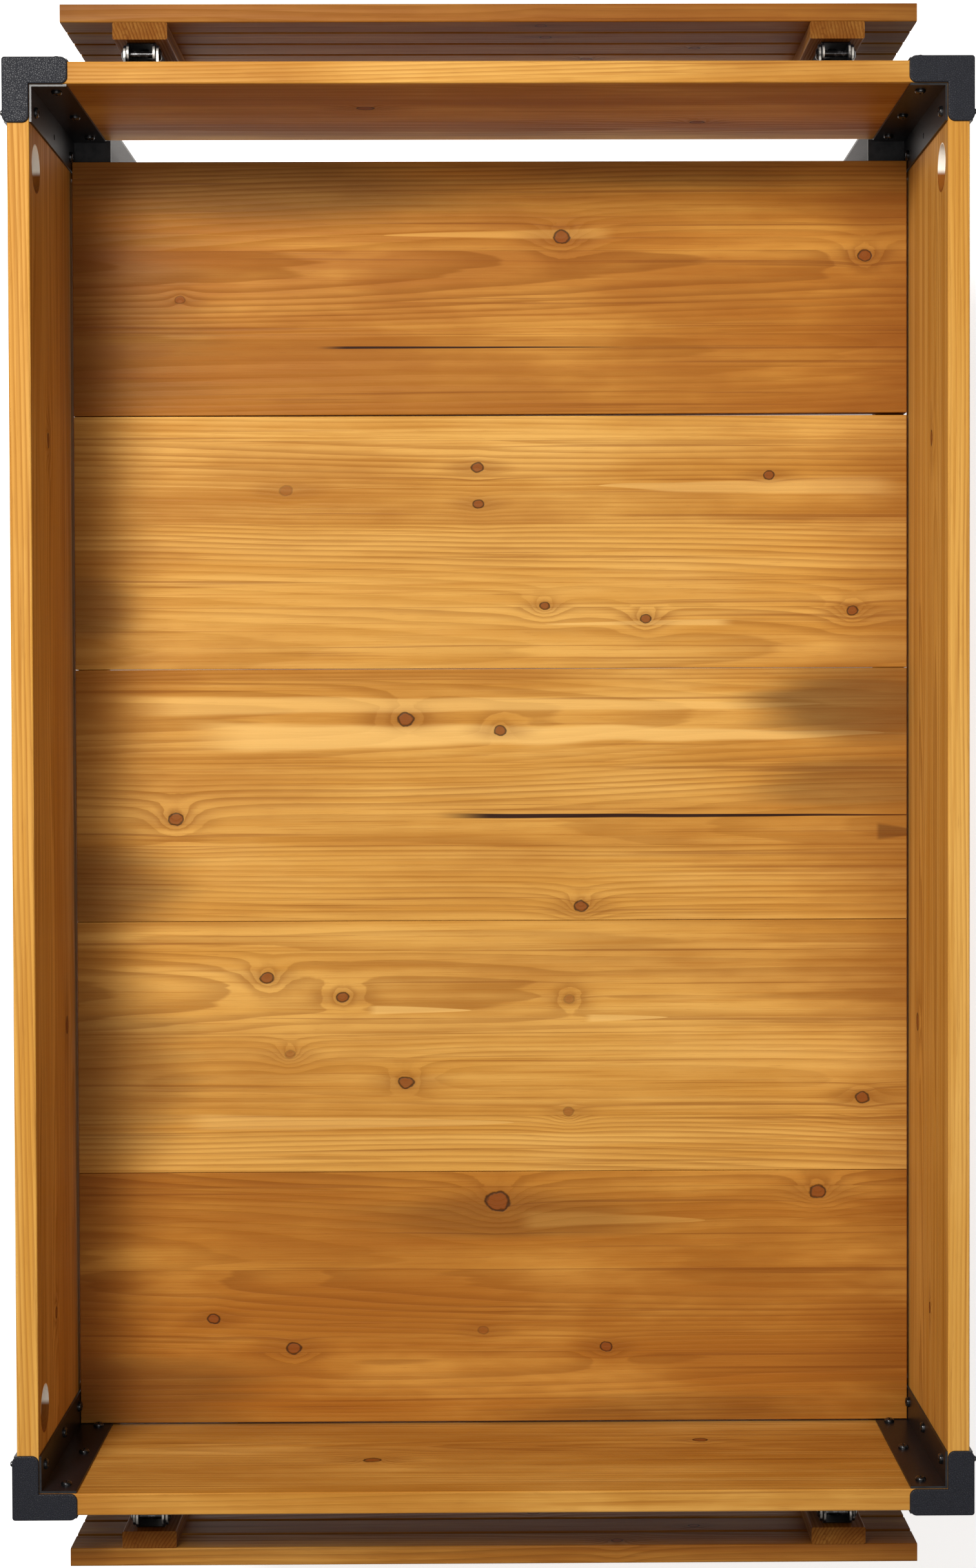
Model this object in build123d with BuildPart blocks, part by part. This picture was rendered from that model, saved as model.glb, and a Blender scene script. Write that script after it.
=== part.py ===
"""Open timber hive box on steel angle legs, with a folding slatted shelf at each end.

Millimetres, +Z up. The origin is on the ground under the middle of the box. The box runs along Y: the back
is +Y, the front is -Y, the right is +X. Both shelves hang folded down, which is their rest position.
"""
import os
from math import asin, cos, radians, sin

from build123d import *

os.makedirs("parts", exist_ok=True)

# Timber box
board_t = 19.0            # thickness of the box and floor boards
board_w = 235.0           # height of the box boards
box_length = 1248.0       # outside, along Y
box_width = 823.0         # outside, along X
rim_z = 800.0             # top edge of the box boards above the ground
edge_r = 1.5              # eased edges of all timber
outer_x = box_width / 2
outer_y = box_length / 2
inner_x = outer_x - board_t
inner_y = outer_y - board_t
base_z = rim_z - board_w  # underside of walls and floor

# Floor of five cross boards, open at the back end
floor_board_w = 236.4
floor_seam = 0.3          # between the first four boards
floor_open_seam = (0.6, 2.4)   # before the last board, at its left and right end
floor_side_gap = 2.5      # room for the steel angle between floor and wall
floor_count = 5
floor_batten_w = 27.0
floor_batten_t = 19.0
plate_side = 36.0         # square base plate of the inner angle

# Steel corners
angle_t = 2.0
angle_flange = 32.0       # inner angle
leg_t = 2.5
leg_flange = 54.0         # outer angle, which is the leg
bolt_r = 2.5
bolt_hole_r = 2.75
bolt_head_r = 4.75
bolt_head_h = 3.2
bolt_inset = 20.5         # from the inside corner to each bolt
bolt_depths = (20.0, 120.0, 208.0)   # below the rim
nut_across = 8.0
nut_h = 4.0
bolt_tail = 2.5           # thread showing beyond the nut

# Plastic caps and feet
cap_wall = 1.5
cap_plate = 2.0
cap_arm = 56.0
cap_skirt = 15.0
cap_corner_r = 2.5
cap_end_r = 6.0
foot_wall = 1.5
foot_sole = 4.0
foot_h = 26.0

# Round ports in the side boards
port_r = 20.0
port_depth = 33.0         # centre below the rim
port_inset = 66.0         # centre from the end board's inner face

# Folding shelves. In a shelf, u runs along the arm from its pivot and n runs away from the wall.
shelf_width = 752.0
slat_w = 37.0
slat_t = 16.0
slat_gap = 4.0
slat_count = 6
shelf_top_u = -14.0       # the slat nearest the pivot starts here
shelf_batten_w = 48.0
shelf_batten_t = 15.0
bracket_x = 306.0         # brackets and shelf battens, from the middle
pivot_depth = 78.0        # arm pivot below the rim
pivot_out = 24.0          # arm pivot from the end board's outer face
pivot_z = rim_z - pivot_depth
sheet_t = 2.0             # bracket steel
arm_w = 25.0
arm_half_depth = 10.0
arm_length = 200.0
channel_w = 31.0
channel_leg = 12.0        # depth of the wall channel's legs below the ear
ear_r = 8.0
channel_top = 8.0         # above the pivot
channel_bottom = -146.0
rivet_r = 3.0
rivet_head_r = 5.5
rivet_head_h = 2.2
running_gap = 0.05        # radial clearance of a pin in its hole

# Wire prop between the wall channel and the arm
prop_r = 2.5
prop_half_w = 7.5
prop_length = 100.0
prop_open_deg = 135.0     # prop's turn from straight down when the shelf is up
prop_pin_out = 6.5        # lower pivot from the end board's face
prop_offset = 5.0         # bar's distance from the arm pivot's line, towards the arm's web
prop_bend_r = 5.0
prop_tail_x = 17.5        # bent ends reach this far from the bracket's middle
prop_drop = prop_length * sin(radians(prop_open_deg)) - prop_offset
prop_folded = asin((prop_offset + pivot_out - prop_pin_out) / prop_length)
prop_seat_u = prop_pin_out - pivot_out + prop_length * sin(radians(prop_open_deg))

# Screws
screw_r = 2.0
screw_hole_r = 2.1
screw_head_r = 4.0
screw_head_h = 2.4
screw_tip_r = 0.3
slat_head_r = 3.9         # countersunk heads on the slats
slat_head_h = 2.2
slat_head_sink = 0.3      # below the slat's face
wall_screw_drops = (-12.0, -40.0, -125.0)   # in the wall channel, from the pivot
arm_screw_us = (25.0, 188.0)

# Where the screws sit and how long they and their pilot holes are
floor_screw_parts = (0.28, 0.72)    # of a floor board's width
plate_screw_front_in = 24.0         # from the floor's front edge
plate_screw_back_in = 7.0           # from the floor's back edge
slat_screw_out = 14.0               # each side of a shelf batten's middle
floor_pilot = 16.5
plate_pilot = 14.0
slat_pilot = 11.0
arm_pilot = 13.0
plate_screw_length = 14.0
wall_screw_length = 18.0
slat_screw_length = 24.0
arm_screw_length = 14.0
recess_ratio = 0.28                 # cross recess against the head's radius
arm_tip_r = 8.0
dimple_r = 5.0                      # pressed in the arm's web
dimple_top_r = 3.0
dimple_height = 1.2
dimple_under_seat = 8.0

ends = {"front": -1, "back": 1}
sides = {"left": -1, "right": 1}
corners = [(f"{end}_{side}", sides[side], ends[end]) for end in ends for side in sides]
along_x = (0, 90, 0)      # turns a hole's axis from Z to X
along_y = (90, 0, 0)      # turns a hole's axis from Z to Y


def is_spare(sy, depth):
    """The middle hole of the side flange is left open at both back corners."""
    return sy > 0 and depth == bolt_depths[1]


def fastener(shank_r, length, head_r, head_h, tip_r, tip_h):
    """Pan head screw, bolt or rivet along +Z, with the head's underside at z = 0 and its tip at z = -length."""
    with BuildPart() as made:
        with BuildSketch(Plane.XZ):
            with BuildLine():
                Polyline((0, head_h), (0, -length), (tip_r, -length), (shank_r, tip_h - length), (shank_r, 0),
                         (head_r, 0), (head_r, head_h * 0.35))
                ThreePointArc((head_r, head_h * 0.35), (head_r * 0.86, head_h * 0.8), (head_r * 0.6, head_h))
                Line((head_r * 0.6, head_h), (0, head_h))
            make_face()
        revolve(axis=Axis.Z)
        with BuildSketch(Plane.XY.offset(head_h)):
            Rectangle(head_r, head_r * recess_ratio)
            Rectangle(head_r * recess_ratio, head_r)
        extrude(amount=-head_h * 0.55, mode=Mode.SUBTRACT)
    return made.part


def countersunk_screw(length):
    """Flat head wood screw along +Z, with the head's flat top at z = 0."""
    with BuildPart() as made:
        with BuildSketch(Plane.XZ):
            Polygon((0, 0), (slat_head_r, 0), (screw_r, -slat_head_h), (screw_r, 2 * screw_r - length),
                    (screw_tip_r, -length), (0, -length), align=None)
        revolve(axis=Axis.Z)
        with BuildSketch():
            Rectangle(slat_head_r, slat_head_r * recess_ratio)
            Rectangle(slat_head_r * recess_ratio, slat_head_r)
        extrude(amount=-slat_head_h * 0.5, mode=Mode.SUBTRACT)
    return made.part


def wood_screw(length):
    """Pan head wood screw."""
    return fastener(screw_r, length, screw_head_r, screw_head_h, screw_tip_r, 2 * screw_r)


# ---- side boards -------------------------------------------------------------------------------------------
for side, sx in sides.items():
    with BuildPart() as side_board:
        with Locations((sx * (inner_x + board_t / 2), 0, base_z)):
            Box(board_t, box_length, board_w, align=(Align.CENTER, Align.CENTER, Align.MIN))
        fillet(side_board.edges().filter_by(Axis.Y), radius=edge_r)
        port_ys = [-(inner_y - port_inset), inner_y - port_inset] if side == "left" else [inner_y - port_inset]
        with Locations(*[Location((sx * (inner_x + board_t / 2), y, rim_z - port_depth), along_x) for y in port_ys]):
            Hole(radius=port_r)
        with Locations(*[Location((sx * (inner_x + board_t / 2), sy * (inner_y - bolt_inset), rim_z - depth), along_x)
                         for sy in ends.values() for depth in bolt_depths]):
            Hole(radius=bolt_hole_r)
    side_board.part.label = f"{side}_side_board"
    export_step(side_board.part, f"parts/{side}_side_board.step")

# ---- end boards --------------------------------------------------------------------------------------------
for end, sy in ends.items():
    with BuildPart() as end_board:
        with Locations((0, sy * (inner_y + board_t / 2), base_z)):
            Box(2 * inner_x, board_t, board_w, align=(Align.CENTER, Align.CENTER, Align.MIN))
        fillet(end_board.edges().filter_by(Axis.X), radius=edge_r)
        with Locations(*[Location((sx * (inner_x - bolt_inset), sy * (inner_y + board_t / 2), rim_z - depth), along_y)
                         for sx in sides.values() for depth in bolt_depths]):
            Hole(radius=bolt_hole_r)
        with Locations(*[Location((sx * bracket_x, sy * outer_y, pivot_z + drop), (-90 * sy, 0, 0))
                         for sx in sides.values() for drop in wall_screw_drops]):
            Hole(radius=screw_hole_r, depth=floor_pilot)
    end_board.part.label = f"{end}_end_board"
    export_step(end_board.part, f"parts/{end}_end_board.step")

# ---- floor boards ------------------------------------------------------------------------------------------
floor_half_x = inner_x - floor_side_gap
floor_front_y = -inner_y + floor_side_gap
floor_pitch = floor_board_w + floor_seam
floor_batten_x = floor_half_x - floor_batten_w / 2
floor_batten_inset = plate_side + 1.0
floor_back_y = floor_front_y + floor_count * floor_pitch - floor_seam + floor_open_seam[0]
batten_front_y = -inner_y + floor_batten_inset
batten_back_y = inner_y - floor_batten_inset
floor_screw_ys = [floor_front_y + i * floor_pitch + floor_board_w * part
                  for i in range(floor_count) for part in floor_screw_parts]
plate_screws = [(sx * (inner_x - plate_side / 2), y)
                for sx in sides.values() for y in (floor_front_y + plate_screw_front_in, floor_back_y - plate_screw_back_in)]

for i in range(floor_count):
    start_y = floor_front_y + i * floor_pitch
    last = i == floor_count - 1
    left_y, right_y = [start_y - floor_seam + seam if last else start_y for seam in floor_open_seam]
    end_y = floor_back_y if last else start_y + floor_board_w
    with BuildPart() as floor_board:
        with BuildSketch(Plane.XY.offset(base_z)):
            Polygon((-floor_half_x, left_y), (floor_half_x, right_y), (floor_half_x, end_y), (-floor_half_x, end_y),
                    align=None)
        extrude(amount=board_t)
        fillet(floor_board.faces().sort_by(Axis.Z)[-1].edges(), radius=0.8)
        spots = [(sx * floor_batten_x, y) for sx in sides.values() for y in floor_screw_ys] + plate_screws
        spots = [(x, y) for x, y in spots if right_y < y < end_y]
        with Locations(*[Location((x, y, base_z), (180, 0, 0)) for x, y in spots]):
            Hole(radius=screw_hole_r, depth=plate_pilot)
    floor_board.part.label = f"floor_board_{i + 1}"
    export_step(floor_board.part, f"parts/floor_board_{i + 1}.step")

for side, sx in sides.items():
    with BuildPart() as floor_batten:
        with Locations((sx * floor_batten_x, batten_front_y, base_z - floor_batten_t)):
            Box(floor_batten_w, batten_back_y - batten_front_y, floor_batten_t,
                align=(Align.CENTER, Align.MIN, Align.MIN))
        with Locations(*[Location((sx * floor_batten_x, y, base_z), (0, 0, 0)) for y in floor_screw_ys]):
            Hole(radius=screw_hole_r)
    floor_batten.part.label = f"{side}_floor_batten"
    export_step(floor_batten.part, f"parts/{side}_floor_batten.step")

floor_screw = wood_screw(31.0)
plate_screw = wood_screw(plate_screw_length)
with BuildPart() as floor_screws:
    with Locations(*[Location((sx * floor_batten_x, y, base_z - floor_batten_t), (180, 0, 0))
                     for sx in sides.values() for y in floor_screw_ys]):
        add(floor_screw)
    with Locations(*[Location((x, y, base_z - angle_t), (180, 0, 0)) for x, y in plate_screws]):
        add(plate_screw)
floor_screws.part.label = "floor_screws"
export_step(floor_screws.part, "parts/floor_screws.step")

# ---- steel corners -----------------------------------------------------------------------------------------
for name, sx, sy in corners:
    side_bolts = [Location((sx * inner_x, sy * (inner_y - bolt_inset), rim_z - d), along_x) for d in bolt_depths]
    end_bolts = [Location((sx * (inner_x - bolt_inset), sy * inner_y, rim_z - d), along_y) for d in bolt_depths]

    with BuildPart() as inner_angle:
        with BuildSketch(Plane.XY.offset(base_z - angle_t)):
            with Locations((sx * (inner_x - angle_flange / 2), sy * (inner_y - angle_t / 2))):
                Rectangle(angle_flange, angle_t)
            with Locations((sx * (inner_x - angle_t / 2), sy * (inner_y - angle_flange / 2))):
                Rectangle(angle_t, angle_flange)
        extrude(amount=board_w + angle_t - 1.0)
        with Locations((sx * (inner_x - plate_side / 2), sy * (inner_y - plate_side / 2), base_z - angle_t)):
            Box(plate_side, plate_side, angle_t, align=(Align.CENTER, Align.CENTER, Align.MIN))
        with Locations(*side_bolts, *end_bolts):
            Hole(radius=bolt_hole_r)
        with Locations(*[Location((x, y, base_z - angle_t), (180, 0, 0)) for x, y in plate_screws]):
            Hole(radius=screw_hole_r, depth=angle_t + 1.0)
    inner_angle.part.label = f"{name}_inner_angle"
    export_step(inner_angle.part, f"parts/{name}_inner_angle.step")

    leg_x = outer_x + leg_t
    leg_y = outer_y + leg_t
    with BuildPart() as leg:
        with BuildSketch(Plane.XY.offset(foot_sole)):
            with Locations((sx * (leg_x - leg_flange / 2), sy * (leg_y - leg_t / 2))):
                Rectangle(leg_flange, leg_t)
            with Locations((sx * (leg_x - leg_t / 2), sy * (leg_y - leg_flange / 2))):
                Rectangle(leg_t, leg_flange)
        extrude(amount=rim_z - foot_sole)
        outer_corner = leg.edges().filter_by(Axis.Z).sort_by(lambda e: -(sx * e.center().X + sy * e.center().Y))[0]
        fillet(outer_corner, radius=2.0)
        with Locations(*side_bolts, *end_bolts):
            Hole(radius=bolt_hole_r)
    leg.part.label = f"{name}_leg"
    export_step(leg.part, f"parts/{name}_leg.step")

    cap_x = leg_x + cap_wall
    cap_y = leg_y + cap_wall
    cap_width_x = cap_x - inner_x
    cap_width_y = cap_y - inner_y
    with BuildPart() as corner_cap:
        with BuildSketch(Plane.XY.offset(rim_z)) as cap_plan:
            with Locations((sx * (cap_x - cap_arm / 2), sy * (cap_y - cap_width_y / 2))):
                Rectangle(cap_arm, cap_width_y)
            with Locations((sx * (cap_x - cap_width_x / 2), sy * (cap_y - cap_arm / 2))):
                Rectangle(cap_width_x, cap_arm)
            outside = cap_plan.vertices().sort_by(lambda v: sx * v.X + sy * v.Y)
            fillet(outside[-1], radius=cap_corner_r)
            fillet([v for v in cap_plan.vertices() if abs(abs(v.X) - (cap_x - cap_arm)) < 0.01
                    or abs(abs(v.Y) - (cap_y - cap_arm)) < 0.01], radius=cap_end_r)
        extrude(amount=cap_plate)
        fillet(corner_cap.faces().sort_by(Axis.Z)[-1].edges(), radius=1.2)
        with BuildSketch(Plane.XY.offset(rim_z)) as skirt_plan:
            with Locations((sx * (cap_x - (cap_arm - cap_end_r) / 2), sy * (cap_y - cap_wall / 2))):
                Rectangle(cap_arm - cap_end_r, cap_wall)
            with Locations((sx * (cap_x - cap_wall / 2), sy * (cap_y - (cap_arm - cap_end_r) / 2))):
                Rectangle(cap_wall, cap_arm - cap_end_r)
            outside = skirt_plan.vertices().sort_by(lambda v: sx * v.X + sy * v.Y)
            fillet(outside[-1], radius=cap_corner_r)
        extrude(amount=-cap_skirt)
        with BuildSketch(Plane.XY.offset(rim_z)):
            with Locations((sx * (leg_x - cap_arm / 2), sy * (leg_y - cap_arm / 2))):
                Rectangle(cap_arm, cap_arm)
        extrude(amount=-cap_skirt, mode=Mode.SUBTRACT)
    corner_cap.part.label = f"{name}_corner_cap"
    export_step(corner_cap.part, f"parts/{name}_corner_cap.step")

# ---- feet: an L-shaped shoe on each leg --------------------------------------------------------------------
with BuildPart() as leg_feet:
    for name, sx, sy in corners:
        foot_x = outer_x + leg_t + foot_wall
        foot_y = outer_y + leg_t + foot_wall
        foot_arm = leg_flange + 2 * foot_wall
        foot_t = leg_t + 2 * foot_wall
        with BuildSketch(Plane.XY):
            with Locations((sx * (foot_x - foot_arm / 2), sy * (foot_y - foot_t / 2))):
                Rectangle(foot_arm, foot_t)
            with Locations((sx * (foot_x - foot_t / 2), sy * (foot_y - foot_arm / 2))):
                Rectangle(foot_t, foot_arm)
        extrude(amount=foot_h)
        with BuildSketch(Plane.XY.offset(foot_sole)):
            with Locations((sx * (foot_x - foot_wall - leg_flange / 2), sy * (foot_y - foot_t / 2))):
                Rectangle(leg_flange, leg_t)
            with Locations((sx * (foot_x - foot_t / 2), sy * (foot_y - foot_wall - leg_flange / 2))):
                Rectangle(leg_t, leg_flange)
        extrude(amount=foot_h, mode=Mode.SUBTRACT)
    fillet(leg_feet.faces().sort_by(Axis.Z)[:4].edges(), radius=0.8)
leg_feet.part.label = "leg_feet"
export_step(leg_feet.part, "parts/leg_feet.step")

# ---- corner bolts and nuts ---------------------------------------------------------------------------------
grip = angle_t + board_t + leg_t
bolt = fastener(bolt_r, grip + nut_h + bolt_tail, bolt_head_r, bolt_head_h, bolt_r - 0.8, 0.8)
with BuildPart() as nut:
    with BuildSketch():
        RegularPolygon(radius=nut_across / 2, side_count=6, major_radius=False)
        Circle(bolt_r + running_gap, mode=Mode.SUBTRACT)
    extrude(amount=nut_h)

bolt_places = []
for name, sx, sy in corners:
    for depth in bolt_depths:
        if not is_spare(sy, depth):
            spot = (sx * (inner_x - angle_t), sy * (inner_y - bolt_inset), rim_z - depth)
            bolt_places.append(Location(spot, (0, -90 * sx, 0)))
        spot = (sx * (inner_x - bolt_inset), sy * (inner_y - angle_t), rim_z - depth)
        bolt_places.append(Location(spot, (90 * sy, 0, 0)))
nut_places = [place * Location((0, 0, -grip - nut_h)) for place in bolt_places]

with BuildPart() as corner_bolts:
    with Locations(*bolt_places):
        add(bolt)
corner_bolts.part.label = "corner_bolts"
export_step(corner_bolts.part, "parts/corner_bolts.step")

with BuildPart() as corner_nuts:
    with Locations(*nut_places):
        add(nut.part)
corner_nuts.part.label = "corner_nuts"
export_step(corner_nuts.part, "parts/corner_nuts.step")

# ---- folding brackets --------------------------------------------------------------------------------------
wall_screw = wood_screw(wall_screw_length)
wall_screw_places = []
rivet_places = []

for name, sx, sy in corners:
    x0 = sx * bracket_x
    wall_y = sy * outer_y
    # Side view of the bracket: local X runs away from the wall, local Y runs up, normal along X of the row.
    side_view = Plane(origin=(x0, wall_y, pivot_z), x_dir=(0, sy, 0), z_dir=(sy, 0, 0))

    with BuildPart() as wall_channel:
        with BuildSketch(side_view):
            with BuildLine():
                Line((0, channel_top), (pivot_out, channel_top))
                RadiusArc((pivot_out, channel_top), (pivot_out, -ear_r), ear_r)
                Polyline((pivot_out, -ear_r), (channel_leg, -ear_r - 10.0), (channel_leg, channel_bottom + 6.0),
                         (channel_leg - 6.0, channel_bottom), (0, channel_bottom), (0, channel_top))
            make_face()
        extrude(amount=channel_w / 2, both=True)
        with BuildSketch(side_view):
            with Locations((sheet_t, channel_top + 1.0)):
                Rectangle(60.0, channel_top + 2.0 - channel_bottom, align=(Align.MIN, Align.MAX))
        extrude(amount=channel_w / 2 - sheet_t, both=True, mode=Mode.SUBTRACT)
        with Locations(Location((x0, wall_y + sy * pivot_out, pivot_z), along_x)):
            Hole(radius=rivet_r + running_gap)
        with Locations(Location((x0, wall_y + sy * prop_pin_out, pivot_z - prop_drop), along_x)):
            Hole(radius=prop_r + running_gap)
        with Locations(*[Location((x0, wall_y + sy * sheet_t, pivot_z + drop), (-90 * sy, 0, 0))
                         for drop in wall_screw_drops]):
            Hole(radius=screw_hole_r, depth=sheet_t + 1.0)
    wall_channel.part.label = f"{name}_wall_channel"
    export_step(wall_channel.part, f"parts/{name}_wall_channel.step")
    wall_screw_places += [Location((x0, wall_y + sy * sheet_t, pivot_z + drop), (-90 * sy, 0, 0))
                          for drop in wall_screw_drops]
    rivet_places.append(Location((x0, wall_y + sy * pivot_out, pivot_z), along_x))

    with BuildPart() as arm:
        with BuildSketch(side_view):
            with Locations((pivot_out, 0)):
                Circle(arm_half_depth)
            with Locations((pivot_out, 0)):
                Rectangle(2 * arm_half_depth, arm_length, align=(Align.CENTER, Align.MAX))
        extrude(amount=arm_w / 2, both=True)
        far_end = arm.edges().filter_by(Axis.X).group_by(Axis.Z)[0].sort_by(Axis.Y)
        fillet(far_end[-1] if sy < 0 else far_end[0], radius=arm_tip_r)
        with BuildSketch(side_view):
            with Locations((pivot_out + arm_half_depth - sheet_t, arm_half_depth + 1.0)):
                Rectangle(40.0, arm_length + 20.0, align=(Align.MAX, Align.MAX))
        extrude(amount=arm_w / 2 - sheet_t, both=True, mode=Mode.SUBTRACT)
        with Locations(Location((x0, wall_y + sy * pivot_out, pivot_z), along_x)):
            Hole(radius=rivet_r + running_gap)
        web_y = wall_y + sy * (pivot_out + arm_half_depth - sheet_t)
        with Locations(*[Location((x0, web_y, pivot_z - u), (90 * sy, 0, 0)) for u in arm_screw_us]):
            Hole(radius=screw_hole_r, depth=sheet_t + 1.0)
        # The pressed dimple that stops the prop's bar when the shelf is up.
        with Locations(Location((x0, web_y, pivot_z - prop_seat_u - dimple_under_seat), (90 * sy, 0, 0))):
            Cone(bottom_radius=dimple_r, top_radius=dimple_top_r, height=dimple_height,
                 align=(Align.CENTER, Align.CENTER, Align.MIN))
    arm.part.label = f"{name}_arm"
    export_step(arm.part, f"parts/{name}_arm.step")

    pin_out = prop_pin_out
    bar_out = prop_pin_out + prop_length * sin(prop_folded)
    pin_z = -prop_drop
    bar_z = -prop_drop - prop_length * cos(prop_folded)
    with BuildPart() as prop:
        with BuildLine() as prop_path:
            FilletPolyline((x0 - prop_tail_x, wall_y + sy * pin_out, pivot_z + pin_z),
                           (x0 - prop_half_w, wall_y + sy * pin_out, pivot_z + pin_z),
                           (x0 - prop_half_w, wall_y + sy * bar_out, pivot_z + bar_z),
                           (x0 + prop_half_w, wall_y + sy * bar_out, pivot_z + bar_z),
                           (x0 + prop_half_w, wall_y + sy * pin_out, pivot_z + pin_z),
                           (x0 + prop_tail_x, wall_y + sy * pin_out, pivot_z + pin_z), radius=prop_bend_r)
        with BuildSketch(Plane(prop_path.line @ 0, z_dir=prop_path.line % 0)):
            Circle(prop_r)
        sweep()
    prop.part.label = f"{name}_prop"
    export_step(prop.part, f"parts/{name}_prop.step")

with BuildPart() as wall_channel_screws:
    with Locations(*wall_screw_places):
        add(wall_screw)
wall_channel_screws.part.label = "wall_channel_screws"
export_step(wall_channel_screws.part, "parts/wall_channel_screws.step")

with BuildPart() as rivet:
    with BuildSketch(Plane.XZ):
        with BuildLine():
            Polyline((0, channel_w / 2 + rivet_head_h), (0, 0), (rivet_r, 0), (rivet_r, channel_w / 2),
                     (rivet_head_r, channel_w / 2))
            ThreePointArc((rivet_head_r, channel_w / 2), (rivet_head_r * 0.75, channel_w / 2 + rivet_head_h * 0.75),
                          (rivet_head_r * 0.3, channel_w / 2 + rivet_head_h))
            Line((rivet_head_r * 0.3, channel_w / 2 + rivet_head_h), (0, channel_w / 2 + rivet_head_h))
        make_face()
    revolve(axis=Axis.Z)
    mirror(about=Plane.XY)
with BuildPart() as bracket_rivets:
    with Locations(*rivet_places):
        add(rivet.part)
bracket_rivets.part.label = "bracket_rivets"
export_step(bracket_rivets.part, "parts/bracket_rivets.step")

# ---- folding shelves ---------------------------------------------------------------------------------------
slat_screw = countersunk_screw(slat_screw_length)
arm_screw = wood_screw(arm_screw_length)
slat_pitch = slat_w + slat_gap
batten_n = pivot_out + arm_half_depth
slat_n = batten_n + shelf_batten_t
shelf_length = slat_count * slat_pitch - slat_gap
slat_screw_spots = [(sx * bracket_x + dx, pivot_z - shelf_top_u - i * slat_pitch - slat_w / 2)
                    for sx in sides.values() for dx in (-slat_screw_out, slat_screw_out) for i in range(slat_count)]

for end, sy in ends.items():
    for i in range(slat_count):
        top_z = pivot_z - shelf_top_u - i * slat_pitch
        with BuildPart() as slat:
            with Locations((0, sy * (outer_y + slat_n + slat_t / 2), top_z)):
                Box(shelf_width, slat_t, slat_w, align=(Align.CENTER, Align.CENTER, Align.MAX))
            fillet(slat.edges().filter_by(Axis.X), radius=edge_r)
            spots = [(x, z) for x, z in slat_screw_spots if top_z - slat_w < z < top_z]
            with Locations(*[Location((x, sy * (outer_y + slat_n + slat_t), z), (-90 * sy, 0, 0))
                             for x, z in spots]):
                CounterSinkHole(radius=screw_hole_r, counter_sink_radius=slat_head_r + 0.3)
        slat.part.label = f"{end}_slat_{i + 1}"
        export_step(slat.part, f"parts/{end}_slat_{i + 1}.step")

    for side, sx in sides.items():
        with BuildPart() as shelf_batten:
            with Locations((sx * bracket_x, sy * (outer_y + batten_n + shelf_batten_t / 2), pivot_z - shelf_top_u)):
                Box(shelf_batten_w, shelf_batten_t, shelf_length - 2.0,
                    align=(Align.CENTER, Align.CENTER, Align.MAX))
            fillet(shelf_batten.edges().filter_by(Axis.Z), radius=edge_r)
            spots = [(x, z) for x, z in slat_screw_spots if x * sx > 0]
            with Locations(*[Location((x, sy * (outer_y + slat_n), z), (-90 * sy, 0, 0)) for x, z in spots]):
                Hole(radius=screw_hole_r, depth=slat_pilot)
            with Locations(*[Location((sx * bracket_x, sy * (outer_y + batten_n), pivot_z - u), (90 * sy, 0, 0))
                             for u in arm_screw_us]):
                Hole(radius=screw_hole_r, depth=arm_pilot)
        shelf_batten.part.label = f"{end}_{side}_shelf_batten"
        export_step(shelf_batten.part, f"parts/{end}_{side}_shelf_batten.step")

    with BuildPart() as shelf_screws:
        with Locations(*[Location((x, sy * (outer_y + slat_n + slat_t - slat_head_sink), z), (-90 * sy, 0, 0))
                         for x, z in slat_screw_spots]):
            add(slat_screw)
        with Locations(*[Location((sx * bracket_x, sy * (outer_y + batten_n - sheet_t), pivot_z - u), (90 * sy, 0, 0))
                         for sx in sides.values() for u in arm_screw_us]):
            add(arm_screw)
    shelf_screws.part.label = f"{end}_shelf_screws"
    export_step(shelf_screws.part, f"parts/{end}_shelf_screws.step")
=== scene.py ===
"""Looks of an open timber hive box on steel angle legs, with a folding slatted shelf at each end.

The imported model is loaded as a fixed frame, and every visible piece gets its finish here. All lengths are
metres in the frame's own axes: +Z up, +Y towards the back end, +X to the right.
"""
from __future__ import annotations

import logging
import math
from dataclasses import dataclass, field
from enum import Enum

import bpy
from mathutils import Matrix, Vector


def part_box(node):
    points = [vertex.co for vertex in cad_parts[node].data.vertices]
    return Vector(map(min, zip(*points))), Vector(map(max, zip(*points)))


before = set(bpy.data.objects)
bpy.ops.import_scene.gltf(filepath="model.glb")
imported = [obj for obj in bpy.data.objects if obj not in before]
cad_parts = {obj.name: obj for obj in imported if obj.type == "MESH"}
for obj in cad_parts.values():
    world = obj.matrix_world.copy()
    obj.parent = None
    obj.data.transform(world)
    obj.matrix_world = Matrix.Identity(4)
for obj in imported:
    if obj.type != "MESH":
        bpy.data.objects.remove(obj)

log = logging.getLogger("hive_box")
Colour = tuple[float, float, float]
Span = tuple[float, float]
CORNERS = ("front_left", "front_right", "back_left", "back_right")
ENDS = ("front", "back")
SIDES = ("left", "right")


class Axis(Enum):
    """A direction of the frame, by its place in a vector."""

    X = 0
    Y = 1
    Z = 2


# ---- shader maths --------------------------------------------------------------------


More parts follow.
